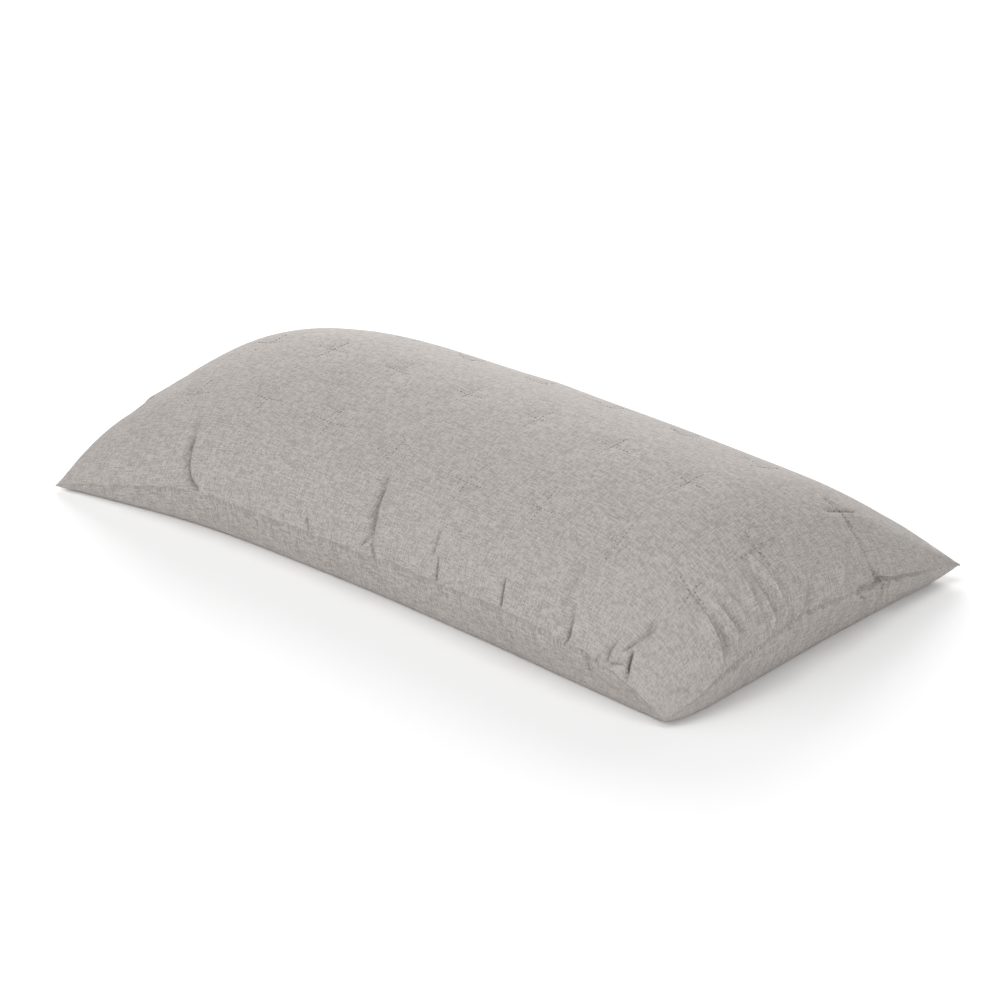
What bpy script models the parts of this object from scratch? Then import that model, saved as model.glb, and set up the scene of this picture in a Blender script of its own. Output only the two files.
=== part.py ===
"""Lumbar pillow: a filled, crowned cushion of two panels sewn together on a knife edge.

Metres, +Z up. X runs along the pillow and Y across it, with its front long side at -Y.
The pillow lies on its back panel at Z = 0, with the origin at the bottom centre of its
bounding box. It is one closed body: a grid for each panel, shaped by the sizes below,
and sewn to the other along the rim. A place on a panel is given by its share of the way
from the middle to the rim: along from -1 to 1 in X, and across from -1 to 1 in Y.
"""

from collections import namedtuple

import bmesh
import bpy
import numpy as np

# The pillow, tip to tip, and how far the filling draws the middle of each side in.
LENGTH = 0.600
WIDTH = 0.338
FRONT_DRAW_IN = 0.030
BACK_DRAW_IN = 0.020
END_DRAW_IN = 0.009
SIDE_CURVE = 2.3
END_CURVE = 2.8

# Height of the seam above the surface, along the long sides and across the ends.
SideStation = namedtuple("SideStation", "at front back")
SIDE_SEAMS = (
    SideStation(-1.00, 0.003, 0.004),
    SideStation(-0.85, 0.014, 0.019),
    SideStation(-0.60, 0.030, 0.028),
    SideStation(-0.20, 0.033, 0.033),
    SideStation(0.20, 0.037, 0.033),
    SideStation(0.60, 0.038, 0.029),
    SideStation(0.80, 0.031, 0.027),
    SideStation(0.92, 0.019, 0.019),
    SideStation(1.00, 0.005, 0.012),
)
EndStation = namedtuple("EndStation", "at left right")
END_SEAMS = (
    EndStation(-0.80, 0.022, 0.014),
    EndStation(-0.40, 0.035, 0.032),
    EndStation(0.00, 0.040, 0.036),
    EndStation(0.40, 0.032, 0.030),
    EndStation(0.80, 0.017, 0.018),
)

# The near corner's ear droops: its tip is tucked in and down.
EAR_TUCK_X = 0.023
EAR_TUCK_Y = 0.031
EAR_REACH = 3.2

# The filling lifts the top panel off the sheet between the seams, and fills the back one
# out until it lies flat. A low bend keeps a panel full close to the seam.
CROWN = 0.047
CROWN_END_SHARPNESS = 5.5
CROWN_END_BEND = 0.40
CROWN_SIDE_SHARPNESS = 1.9
CROWN_SIDE_BEND = 0.57
CROWN_SIDE_BEND_AT_ENDS = 0.17
BELLY = 0.140
BELLY_BEND = 0.55
REST_ROUNDING = 0.010
REST_EDGE = 0.0004

# Crosses of thread tack the top panel down, in columns along it and rows across it.
TACK_COLUMNS = 9
TACK_FIRST_X = -0.284
TACK_STEP_X = 0.0685
TACK_ROWS_Y = (-0.088, -0.010, 0.077)
TACK_DEPTH = 0.0025
TACK_RADIUS = 0.012

# Main folds of the top panel, from the seam (foot) up the side (head). A fold with a
# height below zero is a trough, and one above zero a ridge.
Fold = namedtuple("Fold", "foot_x foot_y head_x head_y half_width height")
FOLDS = (
    Fold(-0.155, -0.144, -0.190, -0.105, 0.008, -0.0045),
    Fold(0.014, -0.140, 0.010, -0.108, 0.008, -0.0055),
    Fold(0.140, -0.141, 0.134, -0.120, 0.007, -0.0030),
    Fold(0.201, -0.143, 0.188, -0.115, 0.008, -0.0045),
    Fold(0.233, -0.138, 0.246, -0.106, 0.008, -0.0040),
    Fold(0.288, -0.098, 0.262, -0.087, 0.006, 0.0030),
    Fold(0.289, -0.078, 0.266, -0.075, 0.006, 0.0030),
    Fold(0.290, -0.048, 0.266, -0.045, 0.006, 0.0025),
    Fold(0.291, -0.028, 0.264, -0.028, 0.006, 0.0030),
    Fold(0.291, 0.046, 0.268, 0.056, 0.006, 0.0025),
    Fold(0.292, 0.070, 0.250, 0.080, 0.008, -0.0050),
)

# The panels' grids, with cells that grow smaller towards the rim.
CELLS_ALONG = 64
CELLS_ACROSS = 32
RIM_CROWDING = 0.30
PROBE = 0.004
SEW_DISTANCE = 0.0001

CLOTH_COLOUR = (0.43, 0.40, 0.38, 1.0)
CLOTH_ROUGHNESS = 0.95


def curve_through(places, heights, where):
    """Smooth curve through the heights at the given places."""
    places, heights = np.array(places), np.array(heights)
    slopes = np.gradient(heights, places)
    left = np.clip(np.searchsorted(places, where, side="right") - 1, 0, len(places) - 2)
    gap = places[left + 1] - places[left]
    u = (where - places[left]) / gap
    return (
        (2 * u**3 - 3 * u**2 + 1) * heights[left]
        + (u**3 - 2 * u**2 + u) * gap * slopes[left]
        + (3 * u**2 - 2 * u**3) * heights[left + 1]
        + (u**3 - u**2) * gap * slopes[left + 1]
    )


def seam_sheet(along, across):
    """The sheet that spans the four seams, as x, y and z."""
    to_right, to_back = (1 + along) / 2, (1 + across) / 2
    to_left, to_front = 1 - to_right, 1 - to_back
    first, last = SIDE_SEAMS[0], SIDE_SEAMS[-1]
    sides = [row.at for row in SIDE_SEAMS]
    ends = [-1] + [row.at for row in END_SEAMS] + [1]
    front = curve_through(sides, [row.front for row in SIDE_SEAMS], along)
    back = curve_through(sides, [row.back for row in SIDE_SEAMS], along)
    left_heights = [first.front] + [row.left for row in END_SEAMS] + [first.back]
    right_heights = [last.front] + [row.right for row in END_SEAMS] + [last.back]
    left = curve_through(ends, left_heights, across)
    right = curve_through(ends, right_heights, across)
    corners = to_front * (to_left * first.front + to_right * last.front)
    corners += to_back * (to_left * first.back + to_right * last.back)
    z = to_front * front + to_back * back + to_left * left + to_right * right - corners

    side_pull = 1 - np.abs(along) ** SIDE_CURVE
    end_pull = 1 - np.abs(across) ** END_CURVE
    ear = (np.clip(along, 0, 1) * np.clip(-across, 0, 1)) ** EAR_REACH
    x = along * (LENGTH / 2 - END_DRAW_IN * end_pull) - EAR_TUCK_X * ear
    pull = to_front * FRONT_DRAW_IN - to_back * BACK_DRAW_IN
    y = across * WIDTH / 2 + pull * side_pull + EAR_TUCK_Y * ear
    return x, y, z


def rest_on_surface(z, seam_z):
    """Flattens what would sink below the surface, with a soft edge where it meets it. The edge
    is sharper at the ears, where the seam itself lies lower than the rounding, and what comes
    very close to the surface lies flat on it."""
    rounding = np.minimum(REST_ROUNDING, seam_z)
    eased = (z + rounding) ** 2 / (4 * rounding)
    rests = (z < -rounding) | (eased < REST_EDGE)
    return np.where(z > rounding, z, np.where(rests, 0.0, eased))


def filled_panel(along, across, top):
    """Points of the top or the back panel, filled out and without its folds."""
    x, y, z = seam_sheet(along, across)
    lengthwise = 1 - np.abs(along) ** CROWN_END_SHARPNESS
    crosswise = 1 - np.abs(across) ** CROWN_SIDE_SHARPNESS
    if top:
        bend = CROWN_SIDE_BEND + CROWN_SIDE_BEND_AT_ENDS * np.abs(along) ** 3
        z = z + CROWN * lengthwise**CROWN_END_BEND * crosswise**bend
    else:
        z = rest_on_surface(z - BELLY * (lengthwise * crosswise) ** BELLY_BEND, z)
    return np.stack([x, y, z], axis=-1)


def outward(along, across):
    """Directions square to the top panel."""
    low, high = np.clip(along - PROBE, -1, 1), np.clip(along + PROBE, -1, 1)
    lengthwise = filled_panel(high, across, True) - filled_panel(low, across, True)
    low, high = np.clip(across - PROBE, -1, 1), np.clip(across + PROBE, -1, 1)
    crosswise = filled_panel(along, high, True) - filled_panel(along, low, True)
    square = np.cross(lengthwise, crosswise)
    size = np.linalg.norm(square, axis=-1, keepdims=True)
    return square / np.maximum(size, 1e-12)


def tack_dimples(x, y):
    """Depth of the dimples round the tacks."""
    depth = np.zeros_like(x)
    for column in range(TACK_COLUMNS):
        tack_x = TACK_FIRST_X + column * TACK_STEP_X
        for tack_y in TACK_ROWS_Y:
            away = (x - tack_x) ** 2 + (y - tack_y) ** 2
            depth -= TACK_DEPTH * np.exp(-away / TACK_RADIUS**2)
    return depth


def fold_heights(x, y):
    """Height of the folds, each a soft ridge or trough that dies away at its head."""
    height = np.zeros_like(x)
    for fold in FOLDS:
        run_x, run_y = fold.head_x - fold.foot_x, fold.head_y - fold.foot_y
        length = np.hypot(run_x, run_y)
        on_x, on_y = x - fold.foot_x, y - fold.foot_y
        share = (on_x * run_x + on_y * run_y) / length**2
        off = (on_x * run_y - on_y * run_x) / length
        fade = np.cos(np.clip(share - 0.25, -0.75, 0.75) * np.pi / 1.5) ** 2
        height += fold.height * fade * np.exp(-((off / fold.half_width) ** 2))
    return height


def top_panel(along, across):
    """Points of the top panel with its tacks and folds. The rim stays on the seam."""
    points = filled_panel(along, across, True)
    relief = tack_dimples(points[:, 0], points[:, 1]) + fold_heights(points[:, 0], points[:, 1])
    inside = 1 - np.maximum(np.abs(along), np.abs(across)) ** 24
    return points + outward(along, across) * (relief * inside)[:, None]


def back_panel(along, across):
    """Points of the back panel, flat where the pillow rests."""
    return filled_panel(along, across, False)


def add_panel(bm, shape):
    """Adds a panel's grid to the mesh, shapes it, and gives its faces."""
    made = bmesh.ops.create_grid(bm, x_segments=CELLS_ALONG, y_segments=CELLS_ACROSS, size=1)
    verts = made["verts"]
    flat = np.array([vert.co for vert in verts])[:, :2]
    flat = np.clip(flat, -1, 1)
    flat += RIM_CROWDING * (flat - flat**3)
    for vert, point in zip(verts, shape(flat[:, 0], flat[:, 1])):
        vert.co = point
    return list({face for vert in verts for face in vert.link_faces})


def cloth_material():
    material = bpy.data.materials.new("heathered_cloth")
    material.use_nodes = True
    shader = material.node_tree.nodes["Principled BSDF"]
    shader.inputs["Base Color"].default_value = CLOTH_COLOUR
    shader.inputs["Roughness"].default_value = CLOTH_ROUGHNESS
    shader.inputs["Metallic"].default_value = 0.0
    return material


def make_filled_pillow(collection):
    """Both panels in one mesh, the back one facing down, sewn along the rim."""
    bm = bmesh.new()
    add_panel(bm, top_panel)
    bmesh.ops.reverse_faces(bm, faces=add_panel(bm, back_panel))
    bmesh.ops.remove_doubles(bm, verts=bm.verts, dist=SEW_DISTANCE)
    mesh = bpy.data.meshes.new("filled_pillow")
    bm.to_mesh(mesh)
    bm.free()
    mesh.shade_smooth()
    mesh.materials.append(cloth_material())
    pillow = bpy.data.objects.new("filled_pillow", mesh)
    collection.objects.link(pillow)


def main():
    for obj in list(bpy.data.objects):
        bpy.data.objects.remove(obj, do_unlink=True)
    collection = bpy.data.collections.new("lumbar_pillow")
    bpy.context.scene.collection.children.link(collection)
    make_filled_pillow(collection)


main()
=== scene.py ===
"""Lumbar pillow: the sewn and filled cover, its tack stitches, and the stage it lies on.

Metres, +Z up. X runs along the pillow and Y across it, with its front long side at -Y. A place
on a panel is given in one of two ways. Its shares, along and across, run from -1 to 1 between
the seams. Its place on the cloth, u and v, is in metres from the middle of the panel, measured
on the cloth itself, and it is the cover's UV map too, so the weave follows the cloth.
"""

import math
from collections import namedtuple

import bpy
import numpy as np
from bpy.props import FloatProperty, FloatVectorProperty, IntProperty, PointerProperty
from bpy.types import Operator, Panel, PropertyGroup
from mathutils import Matrix, Vector
from mathutils.bvhtree import BVHTree


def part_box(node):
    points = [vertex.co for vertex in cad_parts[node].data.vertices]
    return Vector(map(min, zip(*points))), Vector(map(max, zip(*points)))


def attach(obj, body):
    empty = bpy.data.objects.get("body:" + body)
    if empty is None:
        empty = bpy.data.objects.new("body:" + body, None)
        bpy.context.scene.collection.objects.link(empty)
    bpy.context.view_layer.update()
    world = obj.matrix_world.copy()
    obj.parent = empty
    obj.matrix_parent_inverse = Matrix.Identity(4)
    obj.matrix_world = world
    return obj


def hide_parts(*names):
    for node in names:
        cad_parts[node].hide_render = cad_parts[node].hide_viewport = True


bl_info = {
    "name": "Lumbar Pillow",
    "version": (1, 0, 0),
    "blender": (4, 5, 0),
    "location": "3D View > Sidebar > Pillow",
    "description": "Makes a tacked lumbar pillow in heathered cloth, and its stage",
    "category": "Add Mesh",
}

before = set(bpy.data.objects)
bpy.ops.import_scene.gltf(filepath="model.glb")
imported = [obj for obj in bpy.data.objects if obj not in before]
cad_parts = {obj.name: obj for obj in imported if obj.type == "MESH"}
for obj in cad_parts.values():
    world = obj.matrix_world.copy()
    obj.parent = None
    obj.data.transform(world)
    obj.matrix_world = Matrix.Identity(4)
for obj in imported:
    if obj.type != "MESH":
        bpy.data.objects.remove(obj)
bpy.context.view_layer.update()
SOLID = "filled_pillow"
SOLID_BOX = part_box(SOLID)
CLOTH_MAP = "cloth"
BACK_MAP_SHIFT = 1.0
WRINKLES = "wrinkles"

# How far the seam is drawn in at the middle of each side, and how the draw-in fades out.
FRONT_DRAW_IN = 0.030
BACK_DRAW_IN = 0.020
END_DRAW_IN = 0.009
SIDE_CURVE = 2.3
END_CURVE = 2.8

# Height of the seam above the surface, along the long sides and across the ends.
SideStation = namedtuple("SideStation", "at front back")
SIDE_SEAMS = (
    SideStation(-1.00, 0.003, 0.004),
    SideStation(-0.85, 0.014, 0.019),
    SideStation(-0.60, 0.030, 0.028),
    SideStation(-0.20, 0.033, 0.033),
    SideStation(0.20, 0.037, 0.033),
    SideStation(0.60, 0.038, 0.029),
    SideStation(0.80, 0.031, 0.027),
    SideStation(0.92, 0.019, 0.019),
    SideStation(1.00, 0.005, 0.012),
)
EndStation = namedtuple("EndStation", "at left right")
END_SEAMS = (
    EndStation(-0.80, 0.022, 0.014),
    EndStation(-0.40, 0.035, 0.032),
    EndStation(0.00, 0.040, 0.036),
    EndStation(0.40, 0.032, 0.030),
    EndStation(0.80, 0.017, 0.018),
)

# The near corner's ear droops: its tip is tucked in and down.
EAR_TUCK_X = 0.023
EAR_TUCK_Y = 0.031
EAR_REACH = 3.2

# How the filling rounds the two panels off. A low bend keeps a panel full close to the seam.
CROWN_END_SHARPNESS = 5.5
CROWN_END_BEND = 0.40
CROWN_SIDE_SHARPNESS = 1.9
CROWN_SIDE_BEND = 0.57
CROWN_SIDE_BEND_AT_ENDS = 0.17
BELLY = 0.140
BELLY_BEND = 0.55
REST_ROUNDING = 0.010
REST_EDGE = 0.0004

# The cover's grid before its cells are halved, with smaller ones towards the seam.
CELLS_ALONG = 150
CELLS_ACROSS = 83
RIM_CROWDING = 0.22
LINE_POINTS = 2001
SEW_DISTANCE = 0.0001
CLEAR_HEIGHT = 0.010

# Creases, in places on the cloth, from the foot near the seam by way of a point in the middle
# to the head. A height below zero is a trough, and one above zero a ridge.
Crease = namedtuple("Crease", "panel foot_u foot_v mid_u mid_v head_u head_v half_width height")
CREASES = (
    # Front side, left to right.
    Crease("top", -0.236, -0.169, -0.240, -0.165, -0.245, -0.156, 0.0010, -0.0010),
    Crease("top", -0.220, -0.168, -0.224, -0.164, -0.229, -0.155, 0.0010, -0.0009),
    Crease("top", -0.159, -0.169, -0.177, -0.151, -0.188, -0.110, 0.0015, -0.0085),
    Crease("top", -0.106, -0.171, -0.109, -0.165, -0.113, -0.158, 0.0008, -0.0016),
    Crease("top", -0.074, -0.170, -0.077, -0.166, -0.081, -0.160, 0.0009, -0.0012),
    Crease("top", -0.049, -0.172, -0.053, -0.164, -0.057, -0.154, 0.0008, -0.0030),
    Crease("top", 0.007, -0.158, 0.000, -0.137, -0.005, -0.106, 0.0017, -0.0095),
    Crease("top", 0.002, -0.167, 0.004, -0.163, 0.007, -0.157, 0.0010, -0.0032),
    Crease("top", 0.016, -0.173, 0.012, -0.166, 0.007, -0.157, 0.0011, -0.0042),
    Crease("top", 0.066, -0.156, 0.064, -0.143, 0.061, -0.126, 0.0010, -0.0026),
    Crease("top", 0.059, -0.171, 0.058, -0.162, 0.057, -0.153, 0.0009, -0.0007),
    Crease("top", 0.075, -0.171, 0.073, -0.163, 0.071, -0.154, 0.0008, -0.0056),
    Crease("top", 0.097, -0.172, 0.097, -0.165, 0.096, -0.157, 0.0008, -0.0007),
    Crease("top", 0.117, -0.167, 0.115, -0.161, 0.114, -0.152, 0.0008, -0.0006),
    Crease("top", 0.136, -0.170, 0.134, -0.161, 0.132, -0.150, 0.0008, -0.0056),
    Crease("top", 0.166, -0.169, 0.167, -0.159, 0.169, -0.149, 0.0016, -0.0024),
    Crease("top", 0.186, -0.150, 0.183, -0.131, 0.182, -0.108, 0.0022, -0.0044),
    Crease("top", 0.198, -0.173, 0.198, -0.161, 0.193, -0.142, 0.0011, -0.0040),
    Crease("top", 0.186, -0.166, 0.188, -0.160, 0.191, -0.155, 0.0012, -0.0016),
    Crease("top", 0.236, -0.168, 0.235, -0.158, 0.237, -0.145, 0.0013, -0.0034),
    Crease("top", 0.245, -0.151, 0.249, -0.140, 0.253, -0.129, 0.0010, -0.0028),
    Crease("top", 0.252, -0.132, 0.253, -0.121, 0.249, -0.104, 0.0015, -0.0036),
    Crease("top", 0.256, -0.163, 0.253, -0.155, 0.251, -0.145, 0.0010, -0.0060),
    Crease("top", 0.258, -0.172, 0.257, -0.167, 0.255, -0.160, 0.0009, -0.0016),
    Crease("top", 0.239, -0.169, 0.243, -0.165, 0.252, -0.159, 0.0010, -0.0022),
    Crease("top", 0.228, -0.173, 0.228, -0.171, 0.229, -0.166, 0.0010, -0.0020),
    Crease("top", 0.298, -0.142, 0.303, -0.129, 0.316, -0.119, 0.0018, -0.0017),
    Crease("back", 0.012, -0.172, 0.014, -0.167, 0.017, -0.160, 0.0014, -0.0010),
    Crease("back", 0.214, -0.173, 0.216, -0.167, 0.217, -0.158, 0.0019, -0.0026),
    Crease("back", 0.262, -0.171, 0.274, -0.166, 0.298, -0.167, 0.0014, -0.0018),
    # Right end, front to back.
    Crease("top", 0.283, -0.082, 0.269, -0.081, 0.257, -0.082, 0.0009, -0.0012),
    Crease("top", 0.314, -0.088, 0.293, -0.085, 0.272, -0.082, 0.0018, 0.0034),
    Crease("top", 0.307, -0.069, 0.290, -0.072, 0.271, -0.072, 0.0030, 0.0040),
    Crease("top", 0.316, -0.075, 0.301, -0.076, 0.286, -0.075, 0.0016, 0.0026),
    Crease("top", 0.300, -0.056, 0.284, -0.060, 0.263, -0.063, 0.0030, 0.0026),
    Crease("top", 0.314, -0.045, 0.288, -0.046, 0.264, -0.044, 0.0036, 0.0034),
    Crease("top", 0.317, -0.025, 0.286, -0.029, 0.260, -0.029, 0.0016, 0.0042),
    Crease("top", 0.314, -0.019, 0.290, -0.023, 0.270, -0.023, 0.0014, -0.0020),
    Crease("top", 0.317, -0.038, 0.300, -0.036, 0.286, -0.034, 0.0015, 0.0032),
    Crease("top", 0.312, -0.088, 0.293, -0.085, 0.276, -0.082, 0.0010, 0.0032),
    Crease("top", 0.304, -0.069, 0.290, -0.072, 0.276, -0.072, 0.0010, 0.0034),
    Crease("top", 0.309, -0.080, 0.295, -0.079, 0.280, -0.077, 0.0013, -0.0036),
    Crease("top", 0.303, -0.063, 0.292, -0.066, 0.279, -0.068, 0.0013, -0.0032),
    Crease("top", 0.313, -0.025, 0.288, -0.029, 0.262, -0.029, 0.0010, 0.0032),
    Crease("top", 0.312, -0.031, 0.292, -0.034, 0.270, -0.035, 0.0013, -0.0034),
    Crease("top", 0.315, -0.038, 0.301, -0.038, 0.285, -0.039, 0.0010, 0.0032),
    Crease("top", 0.322, -0.016, 0.312, -0.019, 0.300, -0.021, 0.0013, -0.0026),
    Crease("top", 0.314, -0.007, 0.301, -0.008, 0.288, -0.007, 0.0018, 0.0020),
    Crease("top", 0.323, 0.000, 0.312, 0.002, 0.298, 0.002, 0.0022, -0.0026),
    Crease("top", 0.321, 0.029, 0.298, 0.035, 0.268, 0.048, 0.0040, 0.0034),
    Crease("top", 0.306, 0.051, 0.294, 0.051, 0.283, 0.051, 0.0018, -0.0034),
    Crease("top", 0.319, 0.055, 0.304, 0.054, 0.289, 0.056, 0.0020, 0.0026),
    Crease("top", 0.323, 0.070, 0.300, 0.067, 0.262, 0.073, 0.0018, -0.0075),
    Crease("top", 0.323, 0.074, 0.318, 0.071, 0.307, 0.067, 0.0015, -0.0080),
    Crease("top", 0.3225, -0.098, 0.3225, -0.076, 0.3225, -0.052, 0.0009, -0.0018),
    Crease("top", 0.3225, -0.030, 0.3225, 0.008, 0.3225, 0.046, 0.0009, -0.0018),
    Crease("top", 0.3225, 0.046, 0.3225, 0.078, 0.3225, 0.122, 0.0010, -0.0040),
    Crease("top", 0.290, 0.068, 0.275, 0.070, 0.259, 0.072, 0.0012, -0.0024),
    Crease("top", 0.308, 0.086, 0.291, 0.091, 0.274, 0.098, 0.0018, 0.0010),
    Crease("top", 0.323, -0.042, 0.320, -0.042, 0.315, -0.042, 0.0011, -0.0012),
    Crease("top", 0.318, -0.076, 0.312, -0.078, 0.308, -0.079, 0.0011, -0.0012),
    Crease("back", 0.323, 0.076, 0.314, 0.079, 0.307, 0.081, 0.0016, -0.0055),
    Crease("back", 0.320, 0.050, 0.312, 0.060, 0.307, 0.066, 0.0011, -0.0030),
    # Back side, left to right.
    Crease("top", -0.212, 0.171, -0.204, 0.150, -0.196, 0.122, 0.0020, -0.0030),
    Crease("top", -0.098, 0.171, -0.094, 0.154, -0.092, 0.136, 0.0012, -0.0020),
    Crease("top", -0.018, 0.170, -0.022, 0.148, -0.016, 0.118, 0.0018, -0.0026),
    Crease("top", 0.086, 0.171, 0.080, 0.156, 0.078, 0.140, 0.0011, -0.0022),
    Crease("top", 0.174, 0.170, 0.182, 0.148, 0.184, 0.124, 0.0018, -0.0028),
    Crease("top", 0.238, 0.171, 0.232, 0.158, 0.228, 0.142, 0.0012, -0.0022),
    # Left end, front to back.
    Crease("top", -0.322, -0.078, -0.300, -0.074, -0.270, -0.064, 0.0016, 0.0018),
    Crease("top", -0.322, -0.040, -0.298, -0.046, -0.266, -0.044, 0.0020, -0.0030),
    Crease("top", -0.321, -0.010, -0.300, -0.012, -0.276, -0.016, 0.0014, 0.0018),
    Crease("top", -0.320, 0.022, -0.296, 0.020, -0.270, 0.010, 0.0014, 0.0016),
    Crease("top", -0.322, 0.052, -0.294, 0.046, -0.262, 0.052, 0.0020, -0.0018),
    Crease("top", -0.321, 0.086, -0.302, 0.080, -0.280, 0.074, 0.0014, 0.0016),
)
CREASE_STEPS = 10
CREASE_LIP = 0.14
CREASE_LIP_AT = 2.6
CREASE_REACH = 6
CREASE_FOOT_FADE = 0.2
CREASE_FADE_BEND = 0.8

# Part of each broad crease is laid soft and wide before the filling goes in, and settles with
# the cloth. The rest is pressed in afterwards, and the cells beside it are halved to hold it.
BROAD_CREASE = 0.0015
SOFT_SHARE = 0.40
SOFT_WIDENING = 2.2
FINE_REACH = 0.0050
FINEST_REACH = 0.0018
FINE_SEAM = 0.0045

# Along the seam: how uneven its groove is, and the gathers beside it. The noise of each side
# starts at a place and with a seed of its own.
GROOVE_MEAN = 0.8
GROOVE_SPREAD = 0.6
UNEVEN_LENGTH = 0.009
GATHER_LENGTH = 0.005
GATHER_REACH = 0.010
GATHER_RISE = 0.003
END_RUN_START = 2.0
SIDE_NOISE_START = 500
END_NOISE_START = 900
SIDE_SEED = 3
END_SEED = 4
GROOVE_SEED = 6
NOISE_POINTS = 4096

# Tack crosses, in places on the cloth: columns along the panel and rows across it.
TACK_COLUMNS = 9
TACK_FIRST_U = -0.289
TACK_STEP_U = 0.069
TACK_ROWS_V = (-0.089, -0.015, 0.067)
TACK_PULL = 0.0006
Tack = namedtuple("Tack", "column row shift_u shift_v pull")
UNEVEN_TACKS = (
    Tack(2, 0, 0.003, 0.003, 0.0006),
    Tack(4, 0, -0.001, -0.008, 0.0008),
    Tack(5, 0, 0.002, -0.008, 0.0008),
    Tack(6, 0, 0.000, -0.004, 0.0010),
    Tack(8, 0, -0.003, 0.008, 0.0014),
    Tack(8, 1, 0.003, -0.006, 0.0018),
    Tack(8, 2, -0.006, 0.005, 0.0030),
)
ARM_ALONG = 0.0125
ARM_ACROSS = 0.0155
STITCHES_ALONG = 9
STITCHES_ACROSS = 10
STITCH_SEGMENTS = 8
STITCH_DIP = 0.6
STITCH_SEED = 5
STITCH_LOWEST = -0.30
STITCH_HIGHEST = 0.35
STEP_AHEAD = 0.001

# The weave's noise and relief, and how matt the cloth and the thread are.
WEFT_SEED = 3.7
WARP_SEED = 9.1
MOTTLE_SCALE = 80.0
WEAVE_BUMP = 0.25
WEAVE_RELIEF = 0.0003
CLOTH_ROUGHNESS = 0.92
CLOTH_SPECULAR = 0.25
THREAD_SCALE = 2500.0
THREAD_SHADE = 0.7
THREAD_ROUGHNESS = 0.8

# The floor, and the camera's sensor and how far it is shifted, as shares of its width.
FLOOR_SIZE = 40
FLOOR_ROUGHNESS = 0.9
SENSOR_WIDTH = 36
CAMERA_SHIFT = (0.0108, -0.0289)

# Softboxes of the studio, in degrees round the pillow and above the surface. Each gives a share
# of the key softbox's power.
AIM = (0.0, 0.0, 0.05)
Softbox = namedtuple("Softbox", "name azimuth elevation share")
SOFTBOXES = (
    Softbox("key_softbox", 220, 20, 1.0),
    Softbox("right_softbox", 60, 20, 0.4),
    Softbox("front_softbox", -15, 35, 0.3),
    Softbox("top_softbox", 0, 88, 0.3),
    Softbox("back_softbox", 180, 20, 0.25),
    Softbox("left_softbox", -60, 35, 0.2),
)


# ---------------------------------------------------------------- settings


class PillowSizes(PropertyGroup):
    length: FloatProperty(
        name="Length",
        description="From tip to tip along the pillow",
        default=SOLID_BOX[1][0] - SOLID_BOX[0][0],
        unit="LENGTH",
    )
    width: FloatProperty(
        name="Width",
        description="From tip to tip across the pillow",
        default=SOLID_BOX[1][1] - SOLID_BOX[0][1],
        unit="LENGTH",
    )
    crown: FloatProperty(
        name="Crown",
        description="How far the filling lifts the top panel off the seams' own sheet",
        default=0.047,
        unit="LENGTH",
    )
    seam_edge: FloatProperty(
        name="Seam edge",
        description="How far the turned-in cloth pushes the knife edge out",
        default=0.0012,
        unit="LENGTH",
    )
    seam_reach: FloatProperty(
        name="Seam reach",
        description="How far from the seam its edge fades out",
        default=0.0028,
        unit="LENGTH",
    )
    seam_groove: FloatProperty(
        name="Seam groove",
        description="Depth that the stitching pulls the middle of the edge in",
        default=0.0010,
        unit="LENGTH",
    )
    groove_reach: FloatProperty(
        name="Groove reach",
        description="How far from the seam the groove fades out",
        default=0.0007,
        unit="LENGTH",
    )
    pucker: FloatProperty(
        name="Pucker",
        description="Height of the small gathers along the seam",
        default=0.0005,
        unit="LENGTH",
    )
    tack_depth: FloatProperty(
        name="Tack depth",
        description="Depth of the dimple round a tack cross",
        default=0.0012,
        unit="LENGTH",
    )
    tack_radius: FloatProperty(
        name="Tack radius",
        description="Radius of the dimple round a tack cross",
        default=0.013,
        unit="LENGTH",
    )
    arm_reach: FloatProperty(
        name="Arm reach",
        description="How far beside an arm of a cross its dent fades out",
        default=0.0014,
        unit="LENGTH",
    )
    stitch_length: FloatProperty(
        name="Stitch length",
        description="Length of each tack stitch that shows",
        default=0.0019,
        unit="LENGTH",
    )
    stitch_pitch: FloatProperty(
        name="Stitch pitch",
        description="Distance from one tack stitch to the next",
        default=0.0033,
        unit="LENGTH",
    )
    stitch_thickness: FloatProperty(
        name="Stitch thickness",
        description="Thickness of the tack thread",
        default=0.00057,
        unit="LENGTH",
    )


class FillingSettings(PropertyGroup):
    pressure: FloatProperty(
        name="Pressure",
        description="How hard the filling presses the cloth out",
        default=4.0,
    )
    bending: FloatProperty(
        name="Bending",
        description="Stiffness of the cloth against bending",
        default=5.0,
    )
    stretch: FloatProperty(
        name="Stretch",
        description="Stiffness of the cloth against stretching",
        default=30.0,
    )
    frames: IntProperty(
        name="Frames",
        description="Steps of the cloth simulation",
        default=20,
    )
    broad_rounds: IntProperty(
        name="Broad rounds",
        description="Rounds of smoothing that tell the broad form from the wrinkles",
        default=60,
    )
    most_move: FloatProperty(
        name="Most move",
        description="Furthest that the simulation may move a point of the cloth",
        default=0.002,
        unit="LENGTH",
    )


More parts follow.
